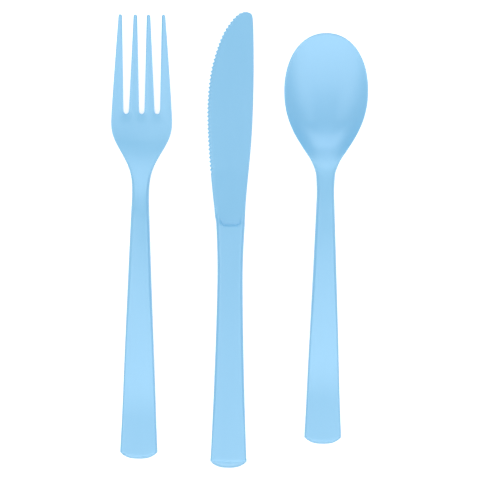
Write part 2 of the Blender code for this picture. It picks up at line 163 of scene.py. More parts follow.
class OutlineLine:
    """A smooth flat line through a few points, read by the share of its length."""

    def __init__(self, points: list[Vector]) -> None:
        """Reads the line at even steps between its points.

        Args:
            points: The points that the line runs through, in order.
        """
        ends = [points[0] * 2 - points[1], *points, points[-1] * 2 - points[-2]]
        self.readings = [points[0]]
        for before, start, end, after in zip(ends, ends[1:], ends[2:], ends[3:]):
            for number in range(LINE_READINGS):
                part = (number + 1) / LINE_READINGS
                curve = (end - before) * part
                curve += (before * 2 - start * 5 + end * 4 - after) * part**2
                curve += (start * 3 - before - end * 3 + after) * part**3
                self.readings.append(start + curve / 2)
        self.distances = [0.0]
        for start, end in zip(self.readings, self.readings[1:]):
            self.distances.append(self.distances[-1] + (end - start).length)

    def length(self) -> float:
        """The whole length of the line."""
        return self.distances[-1]

    def at(self, share: float) -> Vector:
        """The point at a share of the line's length.

        Args:
            share: The share, from 0 to 1.

        Returns:
            The point.
        """
        distance = share * self.length()
        right = min(max(bisect_left(self.distances, distance), 1), len(self.readings) - 1)
        part = share_of(distance, self.distances[right - 1], self.distances[right])
        return self.readings[right - 1].lerp(self.readings[right], part)


@dataclass(frozen=True)
class Turn:
    """A rounded turn from a top face down to a side wall.

    Attributes:
        inward: How far the turn reaches in from the outline.
        downward: How far it reaches down from the top.
        bend: Where it bends, as shares of its reach in and of its reach down.
    """

    inward: float
    downward: float
    bend: tuple[float, float] = (0.29, 0.29)

    def inset(self, ring: int) -> float:
        """How far in from the outline a ring of the turn lies."""
        return self.inward * (0.0, self.bend[0], 1.0)[ring]

    def drop(self, ring: int) -> float:
        """How far below the top a ring of the turn lies."""
        return self.downward * (1.0, self.bend[1], 0.0)[min(ring, RINGS - 1)]

    def towards(self, other: "Turn", share: float) -> "Turn":
        """A turn between this one and another."""
        return Turn(mix(self.inward, other.inward, share), mix(self.downward, other.downward, share))


@dataclass(frozen=True)
class PlasticFinish:
    """Pale blue plastic with a soft gloss and a faintly uneven skin.

    Attributes:
        base: The body colour, as linear red, green and blue.
        deep: The colour of its slightly denser flow marks.
        low_roughness: Roughness of the skin's smoother patches.
        high_roughness: Roughness of its duller patches.
        ior: Index of refraction.
        flow_scale: How fine the flow marks are.
        flow_stretch: How much they are drawn out along the pieces.
        flow_span: Between which readings of the flow the colour changes.
        gloss_span: Between which readings of the flow the roughness changes.
        skin_scale: How fine the skin's unevenness is.
        skin_strength: How strongly the unevenness turns the light.
        skin_height: The height of the unevenness.
    """

    base: tuple[float, float, float] = (0.221, 0.543, 0.820)
    deep: tuple[float, float, float] = (0.211, 0.531, 0.808)
    low_roughness: float = 0.30
    high_roughness: float = 0.37
    ior: float = 1.60
    flow_scale: float = 60.0
    flow_stretch: float = 0.22
    flow_span: tuple[float, float] = (0.35, 0.65)
    gloss_span: tuple[float, float] = (0.3, 0.7)
    skin_scale: float = 900.0
    skin_strength: float = 0.10
    skin_height: float = 0.00008

    def build(self, name: str) -> bpy.types.Material:
        """Makes the material.

        Args:
            name: The material's name.

        Returns:
            The material, ready to be put on a moulding.
        """
        material = bpy.data.materials.new(name)
        material.use_nodes = True
        tree = material.node_tree
        shader = tree.nodes["Principled BSDF"]
        shader.inputs["IOR"].default_value = self.ior
        shader.inputs["Metallic"].default_value = 0.0

        place = add_node(tree, "TexCoord")
        mapping = add_node(tree, "Mapping", {"Scale": (1.0, self.flow_stretch, 1.0)})
        tree.links.new(place.outputs["Object"], mapping.inputs["Vector"])

        flow = add_node(tree, "TexNoise", {"Scale": self.flow_scale, "Detail": 3.0})
        tree.links.new(mapping.outputs["Vector"], flow.inputs["Vector"])
        ramp = add_node(tree, "ValToRGB")
        stops = zip(ramp.color_ramp.elements, self.flow_span, (self.deep, self.base))
        for stop, reading, colour in stops:
            stop.position = reading
            stop.color = (*colour, 1.0)
        tree.links.new(flow.outputs["Fac"], ramp.inputs["Fac"])
        tree.links.new(ramp.outputs["Color"], shader.inputs["Base Color"])

        gloss = add_node(tree, "MapRange", {"From Min": self.gloss_span[0], "From Max": self.gloss_span[1]})
        gloss.inputs["To Min"].default_value = self.low_roughness
        gloss.inputs["To Max"].default_value = self.high_roughness
        tree.links.new(flow.outputs["Fac"], gloss.inputs["Value"])
        tree.links.new(gloss.outputs["Result"], shader.inputs["Roughness"])

        skin = add_node(tree, "TexNoise", {"Scale": self.skin_scale, "Detail": 2.0})
        tree.links.new(place.outputs["Object"], skin.inputs["Vector"])
        bump = add_node(tree, "Bump", {"Strength": self.skin_strength, "Distance": self.skin_height})
        tree.links.new(skin.outputs["Fac"], bump.inputs["Height"])
        tree.links.new(bump.outputs["Normal"], shader.inputs["Normal"])
        return material


@dataclass(kw_only=True)
class Moulding:
    """A moulding with a channel handle: an inverted tray whose rim stands on the table.

    Attributes:
        name: The piece's name.
        cad_node: The CAD node that it stands for.
        middle_x: Where its middle line lies.
        start_y: Where its handle's end lies.
        columns: How many points there are across it.
        handle_length: From the handle's end to the neck or to the bolster.
        handle_lines: How many even cross lines the handle has.
        end_facet: The turn at the handle's sides near its end.
        side_facet: The turn at its sides further on.
        facet_span: Where the one starts to become the other, and where it has.
        wall: Thickness of the handle's walls.
        wall_draft: How far the inside of a wall leans.
        end_bow: How far the handle's corners lie behind the middle of its end.
        end_bow_power: How flat the middle of the end is.
        end_bow_fade: How far from the end the cross lines still bow.
        crown: How much higher the handle's middle is than its sides.
        top_margin: Space between a turn and the first column of the top.
        end_margin: Space between the end's turn and the next cross line.
        corner_across: Where the ring columns cross the outline at the handle's end.
        corner_along: Where the ring rows cross it at the handle's sides.
        edge_radius: Radius of the sharp edges.
        levels: How many times the mesh is subdivided.
        stations: The distance of each cross line from the handle's end.
    """

    name: str
    cad_node: str
    middle_x: float
    start_y: float
    columns: int
    handle_length: float
    handle_lines: int = 44
    end_facet: Turn = Turn(0.0007, 0.0009)
    side_facet: Turn
    facet_span: tuple[float, float]
    wall: float = 0.0016
    wall_draft: float = 0.0003
    end_bow: float = 0.0027
    end_bow_power: float = 3.0
    end_bow_fade: float = 0.0150
    crown: float = 0.0005
    top_margin: float = 0.0004
    end_margin: float = 0.0005
    corner_across: tuple[float, float, float] = (0.0, 0.0007, 0.0014)
    corner_along: tuple[float, float, float] = (0.0, 0.0007, 0.0014)
    edge_radius: float = 0.00018
    levels: int = 1
    stations: list[float] = field(default_factory=list)

    def half(self, y: float) -> float:
        """Half the moulding's width."""
        raise NotImplementedError

    def end_turn(self) -> Turn:
        """The turn at the handle's end."""
        raise NotImplementedError

    def place(self, column: int, row: int, face: Face) -> Vector:
        """Where a point of the grid lies, from the middle of the handle's end."""
        raise NotImplementedError

    def handle_rows(self) -> list[float]:
        """The handle's cross lines: those of its end's turn, a narrow step, and even steps."""
        first = self.end_turn().inward + self.end_margin
        return [*self.corner_along, first, *spaced(first, self.handle_length, self.handle_lines)]

    def handle_turn(self, y: float) -> Turn:
        """The turn at the handle's sides."""
        return self.end_facet.towards(self.side_facet, ease(share_of(y, *self.facet_span)))

    def is_open(self, column: int, row: int) -> bool:
        """Whether the face right of a column and past a row is left open."""
        return False

    def from_side(self, column: int) -> tuple[int, float]:
        """How many columns a column lies in from its side, and the side's sign."""
        other = self.columns - 1 - column
        return min(column, other), (1.0 if column > other else -1.0)

    def interior_share(self, column: int) -> float:
        """Where a column of the top lies between the first and the last one, from -1 to 1."""
        return 2.0 * (column - RINGS) / (self.columns - 1 - 2 * RINGS) - 1.0

    def upper_across(self, column: int, row: int, half: float, turn: Turn) -> float:
        """Where a column crosses the upper face, near a handle's end as well.

        Args:
            column: The column.
            row: The row, counted from the handle's end.
            half: Half the width at the row.
            turn: The turn at the sides.

        Returns:
            The distance from the middle line.
        """
        inward, sign = self.from_side(column)
        if inward >= RINGS:
            return (half - turn.inward - self.top_margin) * self.interior_share(column)
        inset = turn.inset(inward) if inward <= row else self.corner_across[inward]
        return sign * (half - inset)

    def lower_across(self, column: int, row: int, half: float, inset: float) -> float:
        """Where a column crosses the underside, near a handle's end as well.

        Args:
            column: The column.
            row: The row, counted from the handle's end.
            half: Half the width at the row.
            inset: Width of the rim's foot.

        Returns:
            The distance from the middle line.
        """
        inward, sign = self.from_side(column)
        inner = inset + self.wall_draft
        if inward >= RINGS:
            return (half - inner - self.top_margin) * self.interior_share(column)
        insets = (0.0, inset, inner)
        if inward <= row:
            return sign * (half - insets[inward])
        if row == 0:
            return sign * (half - self.corner_across[inward])
        return sign * (half - inner - self.wall_draft)

    def along(self, column: int, row: int, face: Face) -> float:
        """How far from the handle's end a point lies, before its cross line is bowed.

        Args:
            column: The point's column.
            row: Its row.
            face: The face that it lies on.

        Returns:
            The distance.
        """
        inward, _ = self.from_side(column)
        y = self.stations[row]
        if row >= RINGS:
            if face is Face.UPPER or inward == 0:
                return y
            return y + self.wall * (1.0 - share_of(y, 0.0, self.end_bow_fade))
        if inward < row and (face is Face.UPPER or inward == 0):
            return self.corner_along[row]
        if face is Face.UPPER:
            return self.end_turn().inset(row)
        insets = (0.0, self.wall, self.wall + self.wall_draft)
        return insets[row] if row <= inward else insets[row] + self.wall_draft

    def bowed(self, y: float, x: float, half: float) -> float:
        """How far a point near the handle's end is drawn towards the tips."""
        bow = self.end_bow * min(1.0, abs(x / half)) ** self.end_bow_power
        return bow * (1.0 - share_of(y, 0.0, self.end_bow_fade))

    def build(self, material: bpy.types.Material) -> bpy.types.Object:
        """Makes the moulding, rounds its edges and dresses it.

        Args:
            material: What it is made of.

        Returns:
            The finished piece, riding on the frame.
        """
        mesh = self.blank()
        for vertex in mesh.verts:
            face = Face.UNDERSIDE if vertex.co.z < -0.5 else Face.UPPER
            vertex.co = self.place(round(vertex.co.x), round(vertex.co.y), face)
            vertex.co += Vector((self.middle_x, self.start_y, 0.0))
        bmesh.ops.recalc_face_normals(mesh, faces=mesh.faces[:])
        sharp = [edge for edge in mesh.edges if edge.calc_face_angle(0.0) > SHARP_ANGLE]
        bmesh.ops.bevel(
            mesh,
            geom=sharp,
            offset=self.edge_radius,
            segments=2,
            profile=0.5,
            affect="EDGES",
            material=-1,
            clamp_overlap=True,
        )
        data = bpy.data.meshes.new(self.name)
        mesh.to_mesh(data)
        mesh.free()
        data.shade_smooth()
        data.materials.append(material)
        piece = bpy.data.objects.new(self.name, data)
        bpy.context.scene.collection.objects.link(piece)
        smooth = piece.modifiers.new("smooth", "SUBSURF")
        smooth.levels = self.levels
        smooth.render_levels = self.levels
        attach(piece, "root")
        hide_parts(self.cad_node)
        LOG.info("%s: %d points, %d faces", self.name, len(data.vertices), len(data.polygons))
        return piece

    def blank(self) -> bmesh.types.BMesh:
        """Makes the thickened grid, still flat and square.

        Returns:
            The grid, one unit to a column and to a row.
        """
        mesh = bmesh.new()
        rows = len(self.stations)
        bmesh.ops.create_grid(mesh, x_segments=self.columns - 1, y_segments=rows - 1, size=0.5)
        for vertex in mesh.verts:
            vertex.co.x = (vertex.co.x + 0.5) * (self.columns - 1)
            vertex.co.y = (vertex.co.y + 0.5) * (rows - 1)
        centres = {face: face.calc_center_median() for face in mesh.faces}
        gaps = [face for face, centre in centres.items() if self.is_open(int(centre.x), int(centre.y))]
        if gaps:
            bmesh.ops.delete(mesh, geom=gaps, context="FACES")
        thickened = bmesh.ops.extrude_face_region(mesh, geom=mesh.faces[:])
        lower = [item for item in thickened["geom"] if isinstance(item, bmesh.types.BMVert)]
        bmesh.ops.translate(mesh, verts=lower, vec=(0.0, 0.0, -1.0))
        return mesh


@dataclass(frozen=True)
class SideProfile:
    """Side view of a fork or a spoon: flat end, long rise, crest, drop to the belly, and raised tip.

    Attributes:
        flat_to: Where the flat end of the handle stops.
        crest_from: Where the crest starts.
        crest_to: Where it stops.
        belly_at: Where the drop ends.
        tip_at: Where the tip is.
        heights: Height of the top at the end, the crest, the belly and the tip.
        bend: Half the length of the bend at the start of the rise.
        rise_power: How quickly the rise slows down.
        tip_power: How late the tip's rise comes.
    """

    flat_to: float
    crest_from: float
    crest_to: float
    belly_at: float
    tip_at: float
    heights: tuple[float, float, float, float]
    bend: float = 0.0070
    rise_power: float = 1.7
    tip_power: float = 1.35

    def height(self, y: float) -> float:
        """Height of the moulding's top.

        Args:
            y: The distance from the handle's end.

        Returns:
            The height above the table.
        """
        end_height, crest_height, belly_height, tip_height = self.heights
        if y <= self.crest_from:
            rise_length = self.crest_from - self.flat_to
            share = rounded_start((y - self.flat_to) / rise_length, self.bend / rise_length)
            return mix(end_height, crest_height, 1.0 - (1.0 - share) ** self.rise_power)
        if y <= self.belly_at:
            return mix(crest_height, belly_height, ease(share_of(y, self.crest_to, self.belly_at)))
        return mix(belly_height, tip_height, share_of(y, self.belly_at, self.tip_at) ** self.tip_power)


@dataclass(kw_only=True)
class ArchedMoulding(Moulding):
    """A fork or a spoon: an arched handle that narrows to a neck and opens out into a head or a bowl.

    Attributes:
        end_width: Width of the handle's end.
        neck_width: Width of the neck.
        rim_depth: Depth of the handle's rim.
        opened_at: Where the handle's channel has opened out into the head or the bowl.
        foot_inset: How far in from the outline the underside of the head or the bowl starts.
        widest_at: Where the head or the bowl is widest.
        front_turn: The turn at its sides.
        profile: The side view.
    """

    end_width: float
    neck_width: float
    rim_depth: float = 0.0040
    opened_at: float
    foot_inset: float
    widest_at: float
    front_turn: Turn
    profile: SideProfile

    def end_turn(self) -> Turn:
        """The turn at the handle's end."""
        return Turn(0.0013, 0.0018)

    def handle_half(self, y: float) -> float:
        """Half the handle's width, which narrows evenly to the neck."""
        return mix(self.end_width, self.neck_width, y / self.handle_length) / 2

    def opened(self, y: float) -> float:
        """How far the handle's channel has opened out."""
        return ease(share_of(y, self.handle_length, self.opened_at))

    def turn(self, y: float) -> Turn:
        """The turn at the sides, which is widest at the neck and small along the head or the bowl."""
        return self.handle_turn(y).towards(self.front_turn, self.opened(y))


@dataclass
class Fork(ArchedMoulding):
    """The fork: four tines on a dished head.

    Attributes:
        root_at: Where the slots' straight sides start.
        length: The whole length.
        head_width: Width of the head.
        tips_width: Width across the tips.
        shoulder_power: How late the head widens past the neck.
        taper_power: How late it narrows towards the tips.
        head_lines: How many cross lines there are from the neck to the slots.
        tine_lines: How many there are along the tines.
        head_end: How far before the slots' sides the last cross line of the head lies, in slot widths.
        plate: Thickness of the head.
        dish: How much higher the head's sides are than its middle.
        inner_crown: How much of the handle's crown its underside follows.
        slot_columns: The columns of faces at which the slots start.
        slot_root: Width of a slot at its root.
        slot_spacing: Distance of an outer slot from the middle one at the roots.
        outer_slot_tip: Width of an outer slot at the tips.
        middle_slot_tip: Width of the middle slot at the tips.
        tine_tip: Width of a tine's tip.
        tine_drop: How much lower a tine's edges are than its middle.
        tip_length: Length of a tip's round end.
        tip_power: How square that end is.
        tine_parts: Where the columns of a tine lie across it.
        slot_part: Where the columns inside a slot lie, as a share of half its width.
    """

    name: str = "fork_moulding"
    cad_node: str = "fork"
    middle_x: float = -0.04075
    start_y: float = -0.0917
    columns: int = 31
    handle_length: float = 0.1085
    side_facet: Turn = Turn(0.0012, 0.0014)
    facet_span: tuple[float, float] = (0.0434, 0.07595)
    end_width: float = 0.0156
    neck_width: float = 0.0071
    opened_at: float = 0.13058
    foot_inset: float = 0.00038
    widest_at: float = 0.1410
    front_turn: Turn = Turn(0.00045, 0.00045)
    profile: SideProfile = SideProfile(
        flat_to=0.0245,
        crest_from=0.0940,
        crest_to=0.1010,
        belly_at=0.1325,
        tip_at=0.1850,
        heights=(0.0040, 0.0112, 0.0019, 0.0086),
    )
    root_at: float = 0.1451
    length: float = 0.1850
    head_width: float = 0.0255
    tips_width: float = 0.0194
    shoulder_power: float = 1.29
    taper_power: float = 1.12
    head_lines: int = 26
    tine_lines: int = 22
    head_end: float = 0.9
    plate: float = 0.0019
    dish: float = 0.0008
    inner_crown: float = 0.5
    slot_columns: tuple[int, int, int] = (5, 13, 21)
    slot_root: float = 0.0023
    slot_spacing: float = 0.0065
    outer_slot_tip: float = 0.0048
    middle_slot_tip: float = 0.0040
    tine_tip: float = 0.00145
    tine_drop: float = 0.0004
    tip_length: float = 0.0008
    tip_power: float = 2.6
    tine_parts: tuple[float, ...] = (0.0, 0.28, 0.5, 0.72, 1.0)
    slot_part: float = 0.7

    def __post_init__(self) -> None:
        """Sets out the cross lines."""
        rows = self.handle_rows()
        rows += spaced(self.handle_length, self.root_at - self.slot_root * self.head_end, self.head_lines)
        self.root_row = len(rows)
        rows += [self.root_at]
        rows += spaced(self.root_at, self.length - self.tip_length, self.tine_lines)
        self.tip_row = len(rows)
        rows += [self.length - self.tip_length / 2, self.length]
        self.stations = rows

    def half(self, y: float) -> float:
        """Half the fork's width.

        Args:
            y: The distance from the handle's end.

        Returns:
            Half the width there.
        """
        if y <= self.handle_length:
            return self.handle_half(y)
        if y <= self.widest_at:
            swell = share_of(y, self.handle_length, self.widest_at) ** self.shoulder_power
            return mix(self.neck_width, self.head_width, soft_ease(swell)) / 2
        taper = share_of(y, self.widest_at, self.length) ** self.taper_power
        return mix(self.head_width, self.tips_width, taper) / 2

    def head_across(self, column: int, y: float) -> tuple[float, float]:
        """Where one of the head's columns crosses, and how near it is to the edge of its tine.

        Args:
            column: The column.
            y: The distance from the handle's end.

        Returns:
            The distance from the middle line, and 0 at a tine's middle to 1 at its edges and between.
        """
        share = share_of(y, self.root_at, self.length)
        outer = self.half(max(y, self.root_at))
        middle_slot = mix(self.slot_root, self.middle_slot_tip, share) / 2
        outer_slot = mix(self.slot_root, self.outer_slot_tip, share) / 2
        tip_slot = self.middle_slot_tip / 2 + self.tine_tip + self.outer_slot_tip / 2
        slot = mix(self.slot_spacing, tip_slot, share)
        inner = (middle_slot, slot - outer_slot)
        last = (slot + outer_slot, outer)
        right = [(0.0, 1.0), (middle_slot * self.slot_part, 1.0)]
        right += [(mix(*inner, part), abs(1.0 - 2.0 * part)) for part in self.tine_parts]
        right += [(slot + outer_slot * part, 1.0) for part in (-self.slot_part, 0.0, self.slot_part)]
        right += [(mix(*last, part), abs(1.0 - 2.0 * part)) for part in self.tine_parts[:3]]
        inward, sign = self.from_side(column)
        x, near = right[(self.columns - 1) // 2 - inward]
        return sign * x * self.half(y) / outer, near

    def place(self, column: int, row: int, face: Face) -> Vector:
        """Where a point of the grid lies, from the middle of the handle's end.

        Args:
            column: The point's column.
            row: Its row.
            face: The face that it lies on.

        Returns:
            The place.
        """
        y = self.stations[row]
        half = self.half(y)
        opened = self.opened(y)
        turn = self.turn(y)
        inward, _ = self.from_side(column)
        if face is Face.UPPER:
            x = self.upper_across(column, row, half, turn)
        else:
            x = self.lower_across(column, row, half, mix(self.wall, self.foot_inset, opened))
        near = 1.0
        if inward >= RINGS:
            head_x, near = self.head_across(column, y)
            x = mix(x, head_x, opened)
        top = self.profile.height(y)
        dish = self.dish * opened * (x / half) ** 2
        crown = self.crown * (1.0 - opened) * (1.0 - (x / half) ** 2)
        depth = mix(self.rim_depth, self.plate, opened)
        if face is Face.UPPER:
            drop = max(turn.drop(inward), self.end_turn().drop(row))
            lens = self.tine_drop * near**2 * share_of(y, self.widest_at, self.root_at)
            z = top + dish + crown - drop - (lens if inward >= RINGS else 0.0)
        elif min(inward, row) < 2:
            z = top + dish - depth
        else:
            z = top + dish + crown * self.inner_crown - mix(self.wall, self.plate, opened)
        place = Vector((x, self.along(column, row, face), z))
        place.y += self.bowed(place.y, x, half)
        return self.cut(place, column, row)

    def cut(self, place: Vector, column: int, row: int) -> Vector:
        """Rounds the slots' roots and the tines' tips.

        Args:
            place: Where the point lies on straight cross lines.
            column: The point's column.
            row: Its row.

        Returns:
            Where it lies on the rounded ones.
        """
        if row == self.root_row:
            slot = min((-self.slot_spacing, 0.0, self.slot_spacing), key=lambda x: abs(place.x - x))
            radius = self.slot_root / 2
            place.y -= sqrt(max(0.0, radius**2 - (place.x - slot) ** 2))
        if row >= self.tip_row:
            forward = 1.0 if row > self.tip_row else 0.5
            middle, reach = self.tine_at(column)
            across = max(-1.0, min(1.0, (place.x - middle) / reach))
            sideways, ahead = rounded_square(across, forward, self.tip_power)
            place.x = middle + sideways * reach
            place.y = self.length - self.tip_length + ahead * self.tip_length
        return place

    def tine_at(self, column: int) -> tuple[float, float]:
        """Where the tip of a column's tine lies.

        Args:
            column: The column.

        Returns:
            The tip's distance from the middle line, and half its width.
        """
        outer = self.tips_width / 2
        inner_middle = (self.middle_slot_tip + self.tine_tip) / 2
        inward, sign = self.from_side(column)
        middle = outer - self.tine_tip / 2 if inward <= self.slot_columns[0] else inner_middle
        return sign * middle, self.tine_tip / 2

    def is_open(self, column: int, row: int) -> bool:
        """Whether a face is in one of the three slots."""
        in_slot = any(first <= column < first + SLOT_FACES for first in self.slot_columns)
        return row >= self.root_row and in_slot


def rounded_square(across: float, forward: float, power: float) -> tuple[float, float]:
    """Maps a place in a square to a round-cornered shape.

    Args:
        across: Place from the left side, -1, to the right side, 1.
        forward: Place from the middle, 0, to the far side, 1.
        power: 2 for a circle, and more for squarer corners.

    Returns:
        Across and forward in the rounded shape.
    """
    sideways = across * sqrt(1.0 - forward**2 / 2)
    ahead = forward * sqrt(1.0 - across**2 / 2)
    radius = hypot(sideways, ahead)
    if radius == 0.0:
        return 0.0, 0.0
    squareness = (abs(sideways) ** power + ahead**power) ** (1.0 / power)
    return sideways * radius / squareness, ahead * radius / squareness


@dataclass
class Knife(Moulding):
    """The knife: a toothed blade that is lower than its handle's top.

    Attributes:
        waist_at: Where the handle is narrowest.
        end_width: Width of the handle's end.
        waist_width: Width of the waist.
        bolster_width: Width at the bolster.
        end_power: How quickly the handle narrows from its end.
        bolster_power: How late it widens towards the bolster.
        end_depth: Height of the handle's end.
        bolster_depth: Height of the bolster.
        bolster_step: Length of the step down to the blade.
        bolster_bow: How far the step's middle is drawn towards the handle.
        bow_power: How flat the middle of the step is.
        bow_fade: How far from the bolster the cross lines still bow.
        blade_length: From the bolster to the point.
        edge_reach: How far the toothed edge reaches to the left.
        back_reach: How far the back reaches to the right.
        blade_thickness: Thickness of the blade.
        edge_thickness: Thickness of its toothed edge.
        blade_base: Height of the blade's underside.
        root_rise: How much thicker the blade is where it leaves the bolster.
        root_length: How far past the bolster it has thinned to its plain thickness.
        bevel_width: Width of the bevelled band along the edge.
        bevel_bend: Where the band's middle column lies, as a share of its width and of its rise.
        notch_share: How much of a notch shows at that column.
        slim_width: The width below which the turn at the back narrows with the blade.
        face_margins: Space beside the first and the last column of the blade's face, as shares of its width.
        tooth_pitch: Distance between two teeth.
        tooth_depth: Depth of the notches between them.
        toothless: Length of the edge that has no teeth.
        toothless_inset: How far that stretch lies in from the tips of the teeth.
        inset_length: How far past the bolster it is in by that much.
        first_shares: Where the first cross lines past the bolster lie, as shares of the blade's outline.
        toothless_lines: How many cross lines there are from there to the first tooth.
        run_start: Where the sides start to settle into the blade, from the end of the step.
        side_runs: Where each ring of the sides has settled.
        step_span: Where across the handle the bolster's step starts to run out, and where it has.
        corner_step: How far apart the ring rows lie at the corners of the handle's end.
        back_turn: The turn at the blade's back.
        edge_shape: The edge, as shares of its reach and of the blade's length.
        back_shape: The back, in the same way.
    """

    name: str = "knife_moulding"
    cad_node: str = "knife"
    middle_x: float = -0.00325
    start_y: float = -0.09525
    columns: int = 19
    handle_length: float = 0.1015
    side_facet: Turn = Turn(0.0012, 0.0013)
    facet_span: tuple[float, float] = (0.0150, 0.0300)
    waist_at: float = 0.0810
    end_width: float = 0.0153
    waist_width: float = 0.0106
    bolster_width: float = 0.0120
    end_power: float = 1.5
    bolster_power: float = 1.8
    end_depth: float = 0.0042
    bolster_depth: float = 0.0055
    bolster_step: float = 0.0007
    bolster_bow: float = 0.0006
    bow_power: float = 4.0
    bow_fade: float = 0.0024
    blade_length: float = 0.0890
    edge_reach: float = 0.0103
    back_reach: float = 0.0091
    blade_thickness: float = 0.0018
    edge_thickness: float = 0.0007
    blade_base: float = 0.0012
    root_rise: float = 0.0015
    root_length: float = 0.0240
    bevel_width: float = 0.0016
    bevel_bend: float = 0.72
    notch_share: float = 0.3
    slim_width: float = 0.0040
    face_margins: tuple[float, float] = (0.04, 0.05)
    tooth_pitch: float = 0.0017
    tooth_depth: float = 0.0007
    toothless: float = 0.0208
    toothless_inset: float = 0.00035
    inset_length: float = 0.0080
    first_shares: tuple[float, float, float] = (0.0, 0.004, 0.012)
    toothless_lines: int = 14
    run_start: float = -0.0001
    side_runs: tuple[float, float, float] = (0.0050, 0.0046, 0.0042)
    step_span: tuple[float, float] = (0.55, 0.86)
    corner_step: float = 0.0006
    back_turn: Turn = Turn(0.00045, 0.00045)
    edge_shape: tuple[tuple[float, float], ...] = (
        (-0.74, 0.12), (-0.92, 0.33), (-1.0, 0.50), (-0.98, 0.61), (-0.87, 0.72),
        (-0.65, 0.82), (-0.38, 0.90), (-0.04, 0.96), (0.22, 0.99), (0.42, 1.0),
    )
    back_shape: tuple[tuple[float, float], ...] = (
        (0.70, 0.12), (0.93, 0.41), (1.0, 0.66), (0.985, 0.86), (0.94, 0.97), (0.87, 0.992), (0.72, 1.0),
    )

    def __post_init__(self) -> None:
        """Sets out the cross lines, of which the blade's are spread by its edge and its back."""
        self.edge = self.outline(self.edge_shape, self.edge_reach, -1.0)
        self.back = self.outline(self.back_shape, self.back_reach, 1.0)
        rows = self.handle_rows()
        self.blade_row = len(rows)
        heel_share = self.toothless / self.edge.length()
        teeth = round((self.edge.length() - self.toothless) / self.tooth_pitch)
        toothless = spaced(self.first_shares[-1], heel_share, self.toothless_lines)
        self.blade_shares = [*self.first_shares, *toothless]
        self.tooth_places = [0.0] * len(self.blade_shares)
        for number, share in enumerate(spaced(heel_share, 1.0, TOOTH_LINES * teeth)):
            self.blade_shares.append(share)
            self.tooth_places.append((number + 1) / TOOTH_LINES)
        self.stations = rows + [self.handle_length] * len(self.blade_shares)

    def outline(self, shape: tuple[tuple[float, float], ...], reach: float, side: float) -> OutlineLine:
        """The blade's edge or back, from the bolster through its shape's points.

        Args:
            shape: Points as (share of the reach, share of the blade's length).
            reach: How far the line reaches from the middle.
            side: -1 on the left, 1 on the right.

        Returns:
            The line.
        """
        start = Vector((side * self.bolster_width / 2, self.handle_length + self.bolster_step))
        points = [Vector((x * reach, self.handle_length + y * self.blade_length)) for x, y in shape]
        return OutlineLine([start, *points])

    def half(self, y: float) -> float:
        """Half the handle's width, narrowest at the waist.

        Args:
            y: The distance from the handle's end.

        Returns:
            Half the width there.
        """
        if y <= self.waist_at:
            tapered = (1.0 - y / self.waist_at) ** self.end_power
            return mix(self.waist_width, self.end_width, tapered) / 2
        flared = share_of(y, self.waist_at, self.handle_length) ** self.bolster_power
        return mix(self.waist_width, self.bolster_width, flared) / 2

    def end_turn(self) -> Turn:
        """The turn at the handle's end, a long slope with a short steep foot."""
        return Turn(0.0031, 0.0030, bend=(0.14, 0.46))

    def place(self, column: int, row: int, face: Face) -> Vector:
        """Where a point of the grid lies, from the middle of the handle's end.

        Args:
            column: The point's column.
            row: Its row.
            face: The face that it lies on.

        Returns:
            The place.
        """
        if row >= self.blade_row:
            return self.blade_place(column, row - self.blade_row, face)
        y = self.stations[row]
        half = self.half(y)
        turn = self.handle_turn(y)
        top = mix(self.end_depth, self.bolster_depth, y / self.handle_length)
        inward, _ = self.from_side(column)
        if face is Face.UPPER:
            x = self.upper_across(column, row, half, turn)
            crown = self.crown * (1.0 - (x / half) ** 2)
            z = top + crown - max(turn.drop(inward), self.end_turn().drop(row))
        else:
            x = self.lower_across(column, row, half, self.wall)
            z = 0.0 if min(inward, row) < 2 else top - self.wall
        y_placed = self.end_along(column, row, face, x / half)
        return Vector((x, y_placed - self.bolster_drawn(x / half, y - self.handle_length), z))

    def end_along(self, column: int, row: int, face: Face, across: float) -> float:
        """How far from the handle's end a point lies, where the end's outline is bowed and its top isn't.

        Args:
            column: The point's column.
            row: Its row.
            face: The face that it lies on.
            across: Its place across the handle, from -1 to 1.

        Returns:
            The distance.
        """
        if row >= RINGS:
            return self.along(column, row, face)
        inward, _ = self.from_side(column)
        turn = self.end_turn()
        outline = self.end_bow * min(1.0, abs(across)) ** self.end_bow_power
        if inward < row and (face is Face.UPPER or inward == 0):
            return self.end_bow + self.corner_step * row
        if face is Face.UPPER:
            return mix(outline, turn.inward, turn.inset(row) / turn.inward)
        return outline + (self.wall if row else 0.0) + self.wall_draft * (row > 1 or inward < row)

    def bolster_drawn(self, across: float, past: float) -> float:
        """How far a cross line near the bolster is drawn towards the handle."""
        near = 1.0 - share_of(abs(past), 0.0, self.bow_fade)
        return self.bolster_bow * (1.0 - min(1.0, abs(across)) ** self.bow_power) * near

